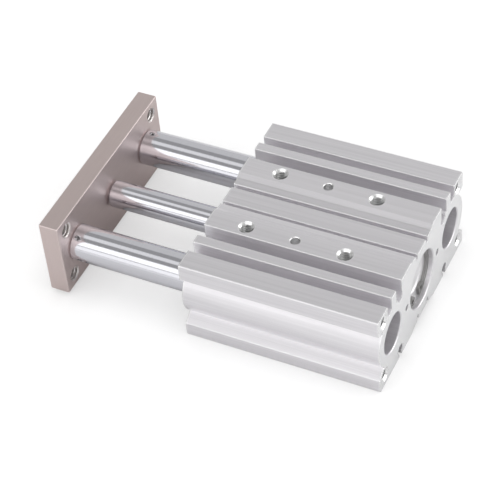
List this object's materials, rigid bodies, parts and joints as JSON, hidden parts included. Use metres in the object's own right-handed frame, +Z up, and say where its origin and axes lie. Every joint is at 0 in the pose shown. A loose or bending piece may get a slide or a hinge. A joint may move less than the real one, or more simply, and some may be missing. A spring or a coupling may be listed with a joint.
{
  "type": "guided pneumatic cylinder",
  "caption": "Compact pneumatic cylinder between two guide rods in a grooved extruded body, with a tool plate that slides out on the rods.",
  "frame": {"origin": "on the piston rod's axis in the plane of the body's rear end face, which is the middle of the four rear tapped holes", "axes": "+X along the stroke towards the tool plate, +Y left when looking along +X, +Z up out of the face with the mounting threads"},
  "size_m": [0.1535, 0.093, 0.042],
  "materials": {
    "body": "drawn and anodised, satin",
    "cover": "turned and anodised",
    "seal": "moulded nitrile rubber",
    "screw": "black oxide",
    "rod": "ground and hard chrome plated",
    "retaining_ring": "phosphated spring steel",
    "bush": "sintered bronze",
    "felt": "oiled felt",
    "plastic": "moulded",
    "magnet": "bonded magnet",
    "tool_plate": "nickel plated, matt"
  },
  "bodies": {
    "cylinder": {"body_block": "body", "head_cover": "cover", "head_cover_o_ring": "seal", "head_cover_ring": "retaining_ring", "rod_cover": "cover", "rod_cover_o_ring": "seal", "rod_cover_ring": "retaining_ring", "rod_seal": "seal", "rod_bumper": "seal", "front_bush_left": "bush", "rear_bush_left": "bush", "felt_wiper_left": "felt", "felt_holder_left": "plastic", "guide_ring_left": "retaining_ring", "front_bush_right": "bush", "rear_bush_right": "bush", "felt_wiper_right": "felt", "felt_holder_right": "plastic", "guide_ring_right": "retaining_ring"},
    "carriage": {"tool_plate": "tool_plate", "piston_rod": "rod", "piston_rod_screw": "screw", "piston": "cover", "piston_seal": "seal", "piston_magnet": "magnet", "piston_wear_ring": "plastic", "head_bumper": "seal", "guide_rod_left": "rod", "guide_rod_screw_left": "screw", "guide_rod_right": "rod", "guide_rod_screw_right": "screw"}
  },
  "joints": [
    {"name": "carriage_slide", "type": "slide", "parent": "cylinder", "child": "carriage", "axis": [1, 0, 0], "range_m": [-0.05, 0]}
  ]
}
